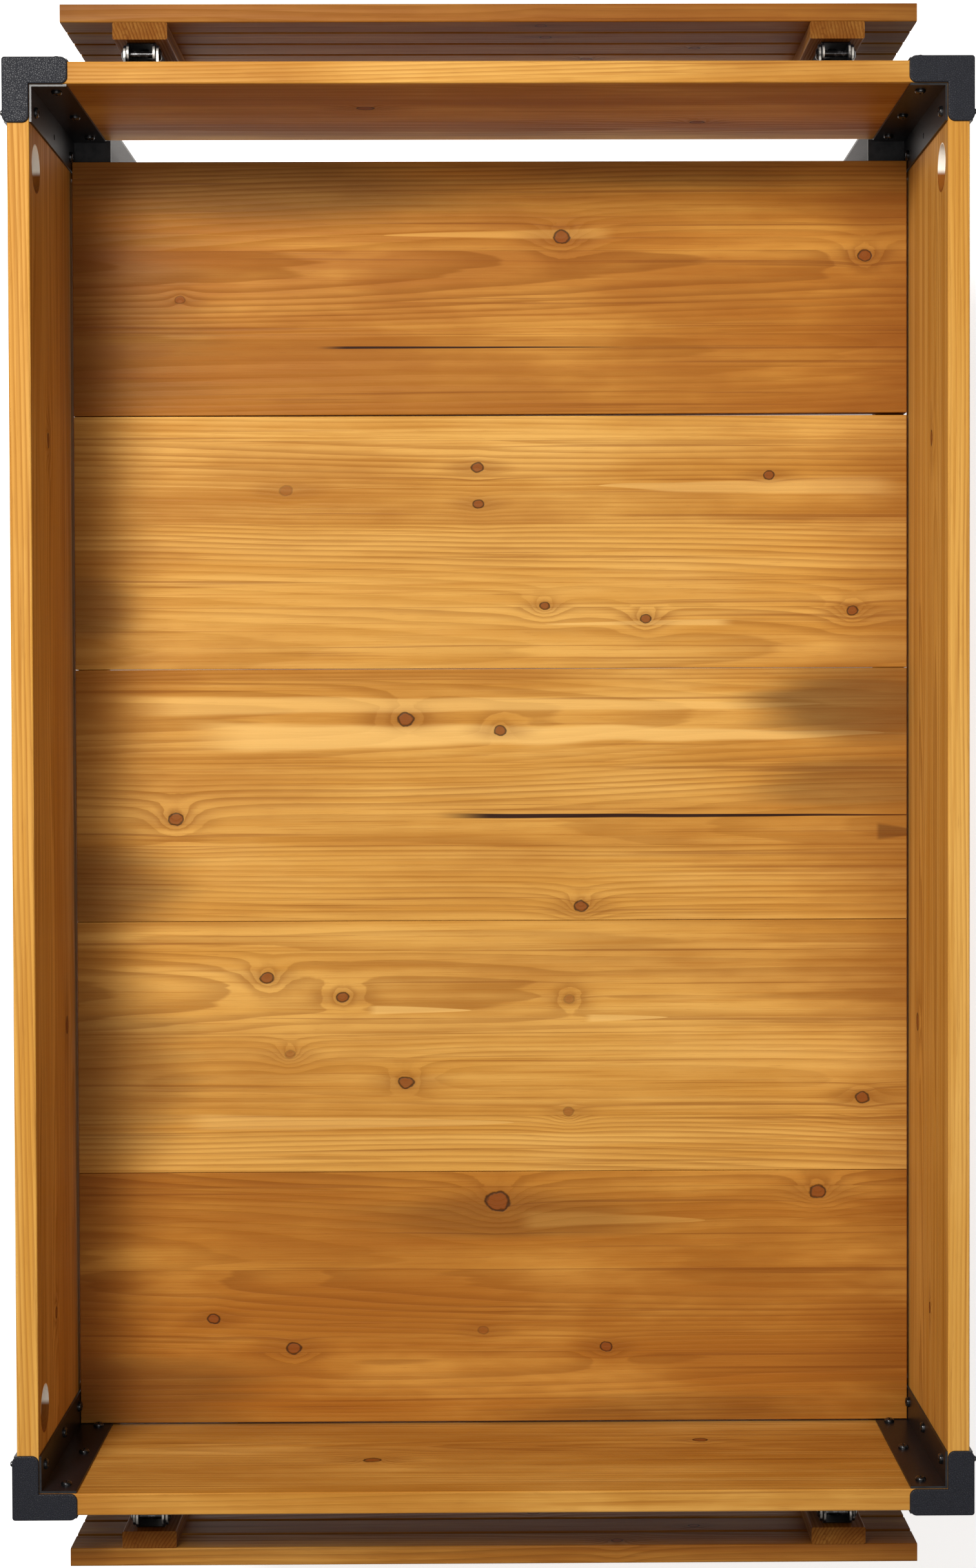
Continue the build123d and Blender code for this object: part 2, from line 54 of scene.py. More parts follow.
@dataclass(frozen=True)
class Wire:
    """A number that leaves a node, which adds Math nodes as it is used in an expression."""

    graph: "Graph"
    socket: bpy.types.NodeSocket

    def __add__(self, other: "Number") -> "Wire":
        """Sum."""
        return self.graph.maths("ADD", self, other)

    def __radd__(self, other: float) -> "Wire":
        """Sum with a plain number first."""
        return self.graph.maths("ADD", other, self)

    def __sub__(self, other: "Number") -> "Wire":
        """Difference."""
        return self.graph.maths("SUBTRACT", self, other)

    def __rsub__(self, other: float) -> "Wire":
        """Difference with a plain number first."""
        return self.graph.maths("SUBTRACT", other, self)

    def __mul__(self, other: "Number") -> "Wire":
        """Product."""
        return self.graph.maths("MULTIPLY", self, other)

    def __rmul__(self, other: float) -> "Wire":
        """Product with a plain number first."""
        return self.graph.maths("MULTIPLY", other, self)

    def __truediv__(self, other: "Number") -> "Wire":
        """Quotient."""
        return self.graph.maths("DIVIDE", self, other)

    def __rtruediv__(self, other: float) -> "Wire":
        """Quotient with a plain number first."""
        return self.graph.maths("DIVIDE", other, self)

    def __pow__(self, other: "Number") -> "Wire":
        """Power."""
        return self.graph.maths("POWER", self, other)

    def __abs__(self) -> "Wire":
        """Size without sign."""
        return self.graph.maths("ABSOLUTE", self, 0.0)


Number = float | Wire


class Graph:
    """The nodes of one material."""

    def __init__(self, name: str) -> None:
        """Starts an empty material.

        Args:
            name: the material's name.
        """
        self.material = bpy.data.materials.new(name)
        self.material.use_nodes = True
        self.tree = self.material.node_tree
        self.tree.nodes.clear()

    def node(self, kind: str, settings: dict | None = None, inputs: dict | None = None) -> bpy.types.Node:
        """Adds any node: its settings first, then the values or links of its sockets.

        Args:
            kind: the node's type name.
            settings: properties by name.
            inputs: values, wires or sockets by socket name or number.

        Returns:
            The new node.
        """
        made = self.tree.nodes.new(kind)
        for name, value in (settings or {}).items():
            setattr(made, name, value)
        for name, value in (inputs or {}).items():
            source = value.socket if isinstance(value, Wire) else value
            if isinstance(source, bpy.types.NodeSocket):
                self.tree.links.new(source, made.inputs[name])
            else:
                made.inputs[name].default_value = source
        return made

    def maths(self, operation: str, first: Number, second: Number) -> Wire:
        """One Math node.

        Args:
            operation: the node's operation.
            first: the first number.
            second: the second number.

        Returns:
            The result.
        """
        made = self.node("ShaderNodeMath", {"operation": operation}, {0: first, 1: second})
        return Wire(self, made.outputs[0])

    def smooth(self, value: Wire, low: float, high: float) -> Wire:
        """A smooth step from 0 at low to 1 at high.

        Args:
            value: the number to map.
            low: where the step starts.
            high: where the step ends.

        Returns:
            The mask, from 0 to 1.
        """
        made = self.node("ShaderNodeMapRange", {"interpolation_type": "SMOOTHSTEP"},
                         {0: value, 1: low, 2: high, 3: 0.0, 4: 1.0})
        return Wire(self, made.outputs[0])

    def place(self) -> tuple[Wire, Wire, Wire]:
        """The three coordinates of the shaded point, in the frame's axes at rest."""
        coords = self.node("ShaderNodeTexCoord")
        parts = self.node("ShaderNodeSeparateXYZ", None, {0: coords.outputs["Object"]})
        return tuple(Wire(self, parts.outputs[i]) for i in range(3))

    def facing(self) -> tuple[Wire, Wire, Wire]:
        """The three parts of the surface's own normal, which turn with the piece."""
        coords = self.node("ShaderNodeTexCoord")
        parts = self.node("ShaderNodeSeparateXYZ", None, {0: coords.outputs["Normal"]})
        return tuple(Wire(self, parts.outputs[i]) for i in range(3))

    def noise(self, point: tuple[Number, Number, Number], detail: float = 2.0, rough: float = 0.5) -> Wire:
        """Soft noise from about 0 to 1.

        Args:
            point: where it is read, already scaled.
            detail: how many finer layers it has.
            rough: how strong the finer layers are.

        Returns:
            The noise.
        """
        where = self.node("ShaderNodeCombineXYZ", None, dict(enumerate(point)))
        made = self.node("ShaderNodeTexNoise", None,
                         {"Vector": where.outputs[0], "Scale": 1.0, "Detail": detail, "Roughness": rough})
        return Wire(self, made.outputs["Fac"])

    def chance(self, key: Wire) -> Wire:
        """A fixed random number from 0 to 1 for each whole key."""
        made = self.node("ShaderNodeTexWhiteNoise", {"noise_dimensions": "1D"}, {"W": key})
        return Wire(self, made.outputs["Value"])

    def mix(self, factor: Number, first: object, second: object) -> bpy.types.NodeSocket:
        """A mix of two colours.

        Args:
            factor: 0 for the first colour, 1 for the second.
            first: a colour or a colour socket.
            second: a colour or a colour socket.

        Returns:
            The mixed colour's socket.
        """
        made = self.node("ShaderNodeMix", {"data_type": "RGBA"})
        for number, value in ((0, factor), (6, first), (7, second)):
            source = value.socket if isinstance(value, Wire) else value
            if isinstance(source, bpy.types.NodeSocket):
                self.tree.links.new(source, made.inputs[number])
            elif number:
                made.inputs[number].default_value = (*source, 1.0)
            else:
                made.inputs[number].default_value = source
        return made.outputs[2]

    def surface(self, colour: object, roughness: Number, height: Wire | None, depth: float,
                metallic: Number = 0.0, coat: float = 0.0, specular: float = 0.5) -> bpy.types.Material:
        """Ends the material in one shader.

        Args:
            colour: a colour or a colour socket.
            roughness: the roughness, plain or varying.
            height: the relief for the bump, from 0 to 1, or None.
            depth: the relief's depth in metres.
            metallic: 0 for paint, wood and plastic, 1 for bare metal.
            coat: strength of a clear coat.
            specular: strength of the plain gloss.

        Returns:
            The finished material.
        """
        base = colour if isinstance(colour, bpy.types.NodeSocket) else (*colour, 1.0)
        inputs = {"Base Color": base, "Roughness": roughness, "Metallic": metallic, "Coat Weight": coat,
                  "Specular IOR Level": specular}
        if height is not None:
            bump = self.node("ShaderNodeBump", None, {"Strength": 1.0, "Distance": depth, "Height": height})
            inputs["Normal"] = bump.outputs[0]
        shader = self.node("ShaderNodeBsdfPrincipled", None, inputs)
        self.node("ShaderNodeOutputMaterial", None, {0: shader.outputs[0]})
        return self.material


# ---- finishes ------------------------------------------------------------------------


@dataclass(frozen=True)
class Knot:
    """A knot in a board, placed from the board's middle."""

    along: float
    across: float
    radius: float = 0.006
    dark: float = 1.0


class MarkKind(Enum):
    """What a long mark in a board is."""

    PALE = "pale flame of sapwood"
    CRACK = "thin dark resin line"
    # Blots serve both as stain and as painted shadow at the floor boards' left ends.
    STAIN_AND_SHADE_BLOT = "brown blot of stain"


PALE = MarkKind.PALE
CRACK = MarkKind.CRACK
STAIN_AND_SHADE_BLOT = MarkKind.STAIN_AND_SHADE_BLOT


@dataclass(frozen=True)
class Mark:
    """A long mark in a board, placed from the board's middle, which tapers towards its end."""

    kind: MarkKind
    start: float
    end: float
    across: float
    width: float
    strength: float = 1.0


@dataclass(frozen=True)
class Stain:
    """The colours of stained softwood."""

    pale: Colour = (0.76, 0.46, 0.14)
    light: Colour = (0.65, 0.350, 0.078)
    honey: Colour = (0.52, 0.240, 0.036)
    amber: Colour = (0.34, 0.120, 0.011)
    # Late-wood brown of the rings, also used as painted shade at board ends and in the ports' bores.
    late_wood_and_shade: Colour = (0.22, 0.066, 0.006)
    # Dark blot colour, used for stain blots and for painted shadow.
    blot: Colour = (0.085, 0.030, 0.006)
    # Painted light: the pale, lit half of the ports' bores.
    bare: Colour = (0.95, 0.90, 0.80)
    knot: Colour = (0.20, 0.048, 0.006)
    knot_rim: Colour = (0.026, 0.007, 0.002)


@dataclass(frozen=True)
class Layers:
    """How strongly each layer colours the wood, from 0 to 1."""

    tone: float = 0.75
    sapwood: float = 0.30
    rings: float = 0.14
    ring_swing: float = 0.34
    end_rings: float = 0.40
    fibre: float = 0.42
    hairline: float = 0.50
    flecks: float = 0.26
    halo: float = 0.38
    knot: float = 0.85
    end_grain: float = 0.35
    glue: float = 0.30


@dataclass(frozen=True)
class Fineness:
    """How fine each noise is, in turns per metre along the grain and across it."""

    wander: Span = (1.3, 6.0)
    ripple: Span = (2.6, 90.0)
    fibre: Span = (7.0, 480.0)
    flecks: Span = (40.0, 950.0)
    streak: Span = (1.6, 62.0)
    hairline: Span = (2.2, 240.0)
    cloud: Span = (3.1, 11.0)


@dataclass(frozen=True)
class Spot:
    """A point of a board, as wires: along the grain, across the board and through it."""

    along: Wire
    across: Wire
    deep: Wire

    def streaks(self, g: Graph, fineness: Span, detail: float, rough: float = 0.5,
                shift: Span = (0.0, 0.0)) -> Wire:
        """Noise that is drawn out along the grain.

        Args:
            g: the material's graph.
            fineness: turns per metre along the grain and across it.
            detail: how many finer layers it has.
            rough: how strong the finer layers are.
            shift: how far the noise is moved along and across.

        Returns:
            The noise, from about 0 to 1.
        """
        lengthwise, crosswise = fineness
        moved_along, moved_across = shift
        point = (self.along * lengthwise + moved_along, self.across * crosswise + moved_across,
                 self.deep * crosswise)
        return g.noise(point, detail, rough)

    def gap(self, g: Graph, along: float, across: float, stretch: float = 1.0) -> Wire:
        """The distance on the board's face to a place.

        Args:
            g: the material's graph.
            along: the place along the grain.
            across: the place across the board.
            stretch: how far the distance is drawn out along the grain.

        Returns:
            The distance.
        """
        da = (self.along - along) / stretch
        dc = self.across - across
        return g.maths("SQRT", da * da + dc * dc, 0.0)


@dataclass(frozen=True)
class KnotMasks:
    """How far a point is under the knots' influence."""

    swell: Number
    core: Number
    rim: Number
    halo: Number


@dataclass(frozen=True)
class Grain:
    """The rings and noises of one board."""

    pick: Wire
    late: Wire
    ring_strength: Wire
    fibre: Wire
    flecks: Wire
    streak: Wire
    hairline: Wire
    cloud: Wire
    on_end: Wire
    glue: Wire


@dataclass(frozen=True)
class Timber:
    """Stained softwood with its grain along one axis, in edge-glued strips."""

    name: str
    grain: Axis
    wide: Axis
    seed: float
    knots: tuple[Knot, ...] = ()
    marks: tuple[Mark, ...] = ()
    tone: float = 0.0
    # Strength and reach of the painted shade that darkens both ends of a board.
    end_shade: float = 0.5
    end_shade_reach: float = 0.115
    ports: tuple[Span, ...] = ()
    port_radius: float = 0.0208
    # Width of the soft edge between the bores' painted light and painted shade.
    painted_port_light_edge: float = 0.003
    strip_w: float = 0.078
    ring_pitch: float = 0.0036
    pith_depth: float = 0.020
    stain: Stain = Stain()
    layers: Layers = Layers()
    fineness: Fineness = Fineness()
    relief: float = 0.00040
    gloss: float = 0.42
    specular: float = 0.10

    def material(self, node: str) -> bpy.types.Material:
        """Builds the material for one board.

        Args:
            node: the board's node, whose middle the knots and marks are placed from.

        Returns:
            The board's material.
        """
        g = Graph(f"{self.name}_{node}")
        low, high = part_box(node)
        middle = (low + high) / 2
        half = (high - low)[self.grain.value] / 2
        place = g.place()
        thin = next(axis for axis in Axis if axis not in (self.grain, self.wide))
        spot = Spot(*(place[axis.value] - middle[axis.value] for axis in (self.grain, self.wide, thin)))
        knots = self.knot_masks(g, spot)
        grain = self.draw_grain(g, spot, knots.swell)

        base = self.stained(g, grain)
        base = self.add_marks(g, base, spot, grain.streak)
        # Painted shade: every board darkens towards both ends, as the floor boards do in the shade along the
        # side walls.
        reach = abs(spot.along) + (grain.cloud - 0.5) * 0.16 + (grain.streak - 0.5) * 0.10
        ends = g.smooth(reach, half - self.end_shade_reach, half + 0.03)
        base = g.mix(ends * self.end_shade, base, self.stain.late_wood_and_shade)
        base = g.mix(knots.halo * self.layers.halo, base, self.stain.late_wood_and_shade)
        base = g.mix(knots.core * self.layers.knot, base, self.stain.knot)
        base = g.mix(knots.rim * self.layers.knot, base, self.stain.knot_rim)
        base = g.mix(grain.on_end * self.layers.end_grain, base, self.stain.late_wood_and_shade)
        base = self.paint_port_light_and_shade(g, base, spot)
        base = g.mix(g.smooth(grain.glue, 0.4925, 0.498) * self.layers.glue, base, self.stain.late_wood_and_shade)
        height = 0.55 * grain.fibre + 0.25 * (1.0 - grain.late) + 0.2 * grain.flecks - 0.5 * knots.rim
        rough = self.gloss + 0.14 * grain.fibre + 0.12 * grain.late + 0.25 * grain.on_end
        return g.surface(base, rough, height, self.relief, specular=self.specular)

    def draw_grain(self, g: Graph, spot: Spot, swell: Number) -> Grain:
        """Draws the strips, the rings and the noises of the board.

        Args:
            g: the material's graph.
            spot: the point of the board.
            swell: how far the knots bend the grain.

        Returns:
            The grain.
        """
        offset = self.strip_w * (0.5 + self.seed % 0.4)
        strip = g.maths("FLOOR", (spot.across + offset) / self.strip_w, 0.0)
        pick = g.chance(strip + self.seed * 7.3)
        other = g.chance(strip * 3.1 + self.seed * 11.7 + 0.5)

        wander = spot.streaks(g, self.fineness.wander, 2.0, shift=(self.seed, 0.0)) - 0.5
        side = spot.across + offset - (strip + 0.5) * self.strip_w - (pick - 0.5) * self.strip_w * 1.8
        side = side + wander * 0.020 + swell * 0.012
        drift = g.noise((spot.along * 0.9 + pick * 40.0, self.seed, 0.3), 1.0) - 0.5
        depth = spot.deep + self.pith_depth + 0.05 * other + spot.along * ((other - 0.5) * 0.045)
        depth = depth + drift * 0.040 + swell * 0.010
        radius = g.maths("SQRT", side * side + depth * depth, 0.0)
        ripple = spot.streaks(g, self.fineness.ripple, 2.0) - 0.5
        phase = g.maths("FRACT", radius / self.ring_pitch + ripple * 0.9, 0.0)

        bent = Spot(spot.along, spot.across + swell * 0.006, spot.deep)
        return Grain(
            pick=pick,
            late=g.smooth(phase, 0.25, 0.90) * (1.0 - g.smooth(phase, 0.90, 1.0)),
            ring_strength=g.smooth(g.noise((radius * 55.0, self.seed, pick * 9.0), 2.0), 0.32, 0.72),
            fibre=spot.streaks(g, self.fineness.fibre, 3.0, 0.6),
            flecks=spot.streaks(g, self.fineness.flecks, 2.0, 0.6),
            streak=bent.streaks(g, self.fineness.streak, 3.0, 0.6, (self.seed, 0.0)),
            hairline=bent.streaks(g, self.fineness.hairline, 2.0, 0.5, (9.0, 0.0)),
            cloud=spot.streaks(g, self.fineness.cloud, 4.0, 0.6, (4.0, self.seed)),
            on_end=g.smooth(abs(g.facing()[self.grain.value]), 0.6, 0.9),
            glue=abs(g.maths("FRACT", (spot.across + offset) / self.strip_w, 0.0) - 0.5))

    def stained(self, g: Graph, grain: Grain) -> bpy.types.NodeSocket:
        """The wood's colour before its marks and knots.

        Args:
            g: the material's graph.
            grain: the board's rings and noises.

        Returns:
            The colour.
        """
        stain, layers = self.stain, self.layers
        rings = grain.late * (layers.rings + layers.ring_swing * grain.ring_strength
                              + layers.end_rings * grain.on_end)
        base = g.mix(g.smooth(grain.streak, 0.30, 0.70), stain.light, stain.honey)
        toned = g.smooth(grain.cloud + grain.pick * 0.22 + self.tone, 0.50, 0.95)
        for mask, colour in ((toned * layers.tone, stain.amber),
                             (g.smooth(grain.cloud, 0.50, 0.22) * layers.sapwood, stain.pale),
                             (rings, stain.late_wood_and_shade),
                             (g.smooth(grain.fibre, 0.50, 0.74) * layers.fibre, stain.amber),
                             (g.smooth(grain.hairline, 0.59, 0.70) * layers.hairline, stain.late_wood_and_shade),
                             (g.smooth(grain.flecks, 0.58, 0.80) * layers.flecks, stain.late_wood_and_shade)):
            base = g.mix(mask, base, colour)
        return base

    def paint_port_light_and_shade(self, g: Graph, base: object, spot: Spot) -> object:
        """Paints light and shade into the round ports' bores: pale painted light on the half towards the
        back, dark painted shade on the front half, whatever the lamps do.

        Args:
            g: the material's graph.
            base: the colour so far.
            spot: the point of the board.

        Returns:
            The colour with the ports' bores.
        """
        for along, across in self.ports:
            bore = 1.0 - g.smooth(spot.gap(g, along, across), self.port_radius, self.port_radius * 1.02)
            # Painted light and shade: the back half of each bore is pale bare wood, the front half dark late
            # wood.
            lit = g.smooth(spot.along - along, -self.painted_port_light_edge, self.painted_port_light_edge)
            base = g.mix(bore, base, g.mix(lit, self.stain.late_wood_and_shade, self.stain.bare))
        return base

    def add_marks(self, g: Graph, base: object, spot: Spot, streak: Wire) -> object:
        """Lays the board's long marks over its colour.

        Args:
            g: the material's graph.
            base: the colour so far.
            spot: the point of the board.
            streak: long noise that frays the marks' edges.

        Returns:
            The colour with the marks on it.
        """
        colours = {PALE: self.stain.pale, CRACK: self.stain.knot_rim, STAIN_AND_SHADE_BLOT: self.stain.blot}
        for mark in self.marks:
            fray = (streak - 0.5) * (0.0 if mark.kind is CRACK else 0.9)
            if mark.kind is STAIN_AND_SHADE_BLOT:
                da = (spot.along - (mark.start + mark.end) / 2) / abs(mark.end - mark.start) * 2.0
                dc = (spot.across - mark.across) / mark.width
                mask = 1.0 - g.smooth(g.maths("SQRT", da * da + dc * dc, 0.0) + fray, 0.35, 1.0)
            else:
                travel = (spot.along - mark.start) / (mark.end - mark.start)
                bend = g.noise((spot.along * 7.0, mark.across * 50.0, 0.0), 1.0) - 0.5
                taper = g.maths("MAXIMUM", 1.0 - travel, 0.001) ** 0.6
                gap = abs(spot.across - mark.across + bend * mark.width * 0.8) / (taper * mark.width)
                mask = (1.0 - g.smooth(gap + fray, 0.55, 1.0)) * g.smooth(travel, 0.0, 0.12)
            base = g.mix(mask * mark.strength, base, colours[mark.kind])
        return base

    def knot_masks(self, g: Graph, spot: Spot) -> KnotMasks:
        """How far each point is under the knots' influence.

        Args:
            g: the material's graph.
            spot: the point of the board.

        Returns:
            The swell that bends the rings, the knots' cores, their dark rims and the halo round them.
        """
        swell, core, rim, halo = 0.0, 0.0, 0.0, 0.0
        rough_edge = g.noise((spot.along * 130.0, spot.across * 130.0, self.seed), 2.0) - 0.5
        for knot in self.knots:
            size = knot.radius
            gap = spot.gap(g, knot.along, knot.across, 1.25) + rough_edge * size * 0.7
            reach = (size * 2.0) ** 2
            swell = swell + reach / (gap * gap + reach)
            core = core + (1.0 - g.smooth(gap, size * 0.8, size)) * min(1.0, knot.dark + 0.2)
            edge = g.smooth(gap, size * 0.74, size * 0.96)
            rim = rim + edge * (1.0 - g.smooth(gap, size, size * 1.2)) * knot.dark
            long_gap = spot.gap(g, knot.along, knot.across, 3.75)
            halo = halo + (1.0 - g.smooth(long_gap, size * 0.6, size * 2.6)) * min(1.0, knot.dark + 0.3)
        return KnotMasks(swell, core, rim, halo)


@dataclass(frozen=True)
class CoatedSteel:
    """Black powder coat with bare, lighter cut edges."""

    name: str
    cut_axes: tuple[Axis, ...]
    colour: Colour = (0.005, 0.005, 0.007)
    edge: Colour = (0.42, 0.41, 0.40)
    edge_share: float = 0.6
    gloss: float = 0.30

    def material(self) -> bpy.types.Material:
        """Builds the coated steel."""
        g = Graph(self.name)
        x, y, z = g.place()
        peel = g.noise((x * 420.0, y * 420.0, z * 420.0), 2.0)
        dust = g.noise((x * 16.0, y * 16.0, z * 9.0), 4.0, 0.6)
        facing = g.facing()
        cut = 0.0
        for axis in self.cut_axes:
            cut = g.maths("MAXIMUM", cut, g.smooth(abs(facing[axis.value]), 0.8, 0.95))
        worn = g.smooth(g.noise((x * 150.0, y * 150.0, z * 150.0), 3.0), 0.30, 0.62)
        bare = cut * worn * self.edge_share
        dusty = tuple(c * 2.2 + 0.002 for c in self.colour)
        colour = g.mix(g.smooth(dust, 0.45, 0.8) * 0.35, self.colour, dusty)
        colour = g.mix(bare, colour, self.edge)
        rough = self.gloss + 0.12 * dust + 0.06 * peel
        return g.surface(colour, rough, peel, 0.00008, metallic=bare * 0.7, coat=0.04, specular=0.3)


@dataclass(frozen=True)
class GrainedPlastic:
    """Moulded plastic with a fine leather grain."""

    name: str
    colour: Colour = (0.007, 0.008, 0.013)
    pit: float = 620.0

    def material(self) -> bpy.types.Material:
        """Builds the plastic."""
        g = Graph(self.name)
        coords = g.node("ShaderNodeTexCoord")
        cells = g.node("ShaderNodeTexVoronoi", {"feature": "DISTANCE_TO_EDGE"},
                       {"Vector": coords.outputs["Object"], "Scale": self.pit})
        crease = g.smooth(Wire(g, cells.outputs["Distance"]), 0.0, 0.16)
        x, y, z = g.place()
        haze = g.noise((x * 55.0, y * 55.0, z * 55.0), 3.0)
        scuff = g.noise((x * 900.0, y * 60.0, z * 60.0), 2.0)
        colour = g.mix(0.25 + 0.5 * haze, self.colour, tuple(c * 1.7 for c in self.colour))
        # Painted shade: the creases of the leather grain are darker.
        colour = g.mix((1.0 - crease) * 0.5, colour, tuple(c * 0.45 for c in self.colour))
        colour = g.mix(g.smooth(scuff, 0.66, 0.8) * 0.25, colour, (0.06, 0.062, 0.07))
        rough = 0.46 + 0.16 * (1.0 - crease) + 0.1 * haze
        return g.surface(colour, rough, crease, 0.00016, specular=0.3)


@dataclass(frozen=True)
class Fastener:
    """Blackened or zinc-plated steel of screws, bolts, rivets and wire."""

    name: str
    colour: Colour
    shine: Colour
    gloss: float
    metal: float

    def material(self) -> bpy.types.Material:
        """Builds the fastener's finish."""
        g = Graph(self.name)
        x, y, z = g.place()
        wear = g.noise((x * 260.0, y * 260.0, z * 260.0), 4.0, 0.6)
        turning = g.noise((x * 900.0, y * 900.0, z * 120.0), 2.0)
        colour = g.mix(g.smooth(wear, 0.46, 0.66), self.colour, self.shine)
        rough = self.gloss + 0.14 * wear + 0.06 * turning
        return g.surface(colour, rough, turning, 0.00005, metallic=self.metal, coat=0.3)


class Finish(Enum):
    """The finishes that are not timber."""

    INNER_STEEL = CoatedSteel("inner_angle_coat", (Axis.Z,), edge_share=0.02, gloss=0.30)
    LEG_STEEL = CoatedSteel("leg_coat", (Axis.Z,), edge_share=0.06, gloss=0.32)
    BRACKET_STEEL = CoatedSteel("bracket_coat", (Axis.Z,), edge=(0.52, 0.50, 0.47), edge_share=0.85,
                                gloss=0.34)
    PLASTIC = GrainedPlastic("grained_plastic")
    BLACK_HEADS = Fastener("black_heads", (0.012, 0.012, 0.013), (0.07, 0.07, 0.075), 0.16, 0.75)
    ZINC = Fastener("zinc_wire", (0.42, 0.42, 0.43), (0.62, 0.61, 0.58), 0.24, 1.0)


class Dresser:
    """Gives carried-over nodes their finish, and keeps one material for each shared finish."""

    def __init__(self) -> None:
        """Starts with no material made."""
        self.made: dict[Finish, bpy.types.Material] = {}

    def dress(self, node: str, material: bpy.types.Material) -> None:
        """Puts one material on a whole node.

        Args:
            node: the node's name.
            material: its material.
        """
        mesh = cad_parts[node].data
        mesh.materials.clear()
        mesh.materials.append(material)
        log.info("dressed %s in %s", node, material.name)

    def coat(self, node: str, finish: Finish) -> None:
        """Puts a shared finish on a node.

        Args:
            node: the node's name.
            finish: the finish.
        """
        if finish not in self.made:
            self.made[finish] = finish.value.material()
        self.dress(node, self.made[finish])


# ---- sub-assemblies ------------------------------------------------------------------


@dataclass
class TimberBox:
    """Four wall boards and a floor of five cross boards on two battens."""

    dresser: Dresser
    floor_knots: dict[int, tuple[Knot, ...]] = field(default_factory=lambda: {
        5: (Knot(0.067, 0.048, 0.006), Knot(0.351, 0.030, 0.005), Knot(-0.290, -0.010, 0.0035, 0.5)),
        4: (Knot(-0.013, 0.070, 0.0045), Knot(-0.012, 0.036, 0.004), Knot(0.261, 0.062, 0.004),
            Knot(-0.192, 0.049, 0.005, 0.35), Knot(0.050, -0.060, 0.0035), Knot(0.145, -0.072, 0.004),
            Knot(0.339, -0.065, 0.0045)),
        3: (Knot(-0.081, 0.071, 0.006), Knot(0.008, 0.060, 0.0045), Knot(-0.297, -0.022, 0.0055),
            Knot(0.083, -0.105, 0.005)),
        2: (Knot(-0.212, 0.065, 0.005), Knot(-0.141, 0.047, 0.0045), Knot(-0.082, -0.034, 0.0055),
            Knot(0.348, -0.050, 0.005), Knot(-0.191, -0.007, 0.004, 0.35), Knot(0.072, 0.044, 0.004, 0.4),
            Knot(0.071, -0.062, 0.004, 0.4)),
        1: (Knot(0.004, 0.090, 0.009), Knot(0.306, 0.098, 0.006), Knot(-0.189, -0.048, 0.0055),
            Knot(0.106, -0.048, 0.0045), Knot(-0.264, -0.020, 0.0045), Knot(-0.010, -0.032, 0.004, 0.4)),
    })
    # The ports whose bores get the painted light and shade.
    ports: dict[str, tuple[Span, ...]] = field(default_factory=lambda: {
        "left": ((-0.539, 0.0845), (0.539, 0.0845)), "right": ((0.539, 0.0845),)})
    # Darker stain of floor boards 1 and 5; on board 1 it also paints in the shade of the end wall beside it.
    darker_stain_and_shade: Stain = Stain(pale=(0.68, 0.36, 0.08), light=(0.56, 0.265, 0.042), honey=(0.44, 0.172, 0.019),
                              amber=(0.29, 0.090, 0.007), late_wood_and_shade=(0.18, 0.048, 0.004))
    # The blots lying wholly at a floor board's left end (ending at -0.18 or further left) are painted shadow
    # of the left side wall; the other blots are stain.
    floor_marks: dict[int, tuple[Mark, ...]] = field(default_factory=lambda: {
        5: (Mark(CRACK, -0.168, 0.125, -0.055, 0.0016), Mark(PALE, 0.12, -0.10, 0.050, 0.007, 0.6),
            Mark(STAIN_AND_SHADE_BLOT, -0.52, 0.05, 0.095, 0.050, 0.55), Mark(STAIN_AND_SHADE_BLOT, -0.56, -0.22, -0.02, 0.15, 0.45),
            Mark(STAIN_AND_SHADE_BLOT, -0.10, 0.45, 0.112, 0.022, 0.40)),
        4: (Mark(PALE, 0.39, 0.10, 0.052, 0.012, 0.45), Mark(PALE, 0.23, 0.05, -0.076, 0.004, 0.6),
            Mark(STAIN_AND_SHADE_BLOT, -0.44, -0.32, -0.060, 0.040, 0.50)),
        3: (Mark(PALE, -0.30, 0.37, 0.056, 0.017, 0.75), Mark(PALE, -0.36, 0.31, 0.084, 0.012, 0.5),
            Mark(STAIN_AND_SHADE_BLOT, 0.22, 0.48, 0.085, 0.050, 0.72), Mark(STAIN_AND_SHADE_BLOT, 0.22, 0.46, 0.010, 0.040, 0.45),
            Mark(CRACK, -0.06, 0.44, -0.020, 0.0030, 1.0), Mark(STAIN_AND_SHADE_BLOT, -0.50, -0.25, -0.085, 0.060, 0.6),
            Mark(CRACK, 0.36, 0.40, -0.035, 0.010, 0.6)),
        2: (Mark(PALE, -0.12, -0.02, 0.034, 0.005, 0.6), Mark(PALE, 0.085, 0.165, 0.026, 0.004, 0.6),
            Mark(PALE, -0.30, 0.02, -0.072, 0.011, 0.35), Mark(STAIN_AND_SHADE_BLOT, -0.46, -0.26, -0.030, 0.110, 0.4)),
        1: (Mark(PALE, 0.02, 0.20, 0.072, 0.010, 0.4), Mark(STAIN_AND_SHADE_BLOT, -0.16, 0.22, 0.074, 0.028, 0.35),
            Mark(STAIN_AND_SHADE_BLOT, -0.50, -0.18, -0.090, 0.050, 0.5), Mark(STAIN_AND_SHADE_BLOT, -0.05, 0.42, -0.108, 0.020, 0.35)),
    })

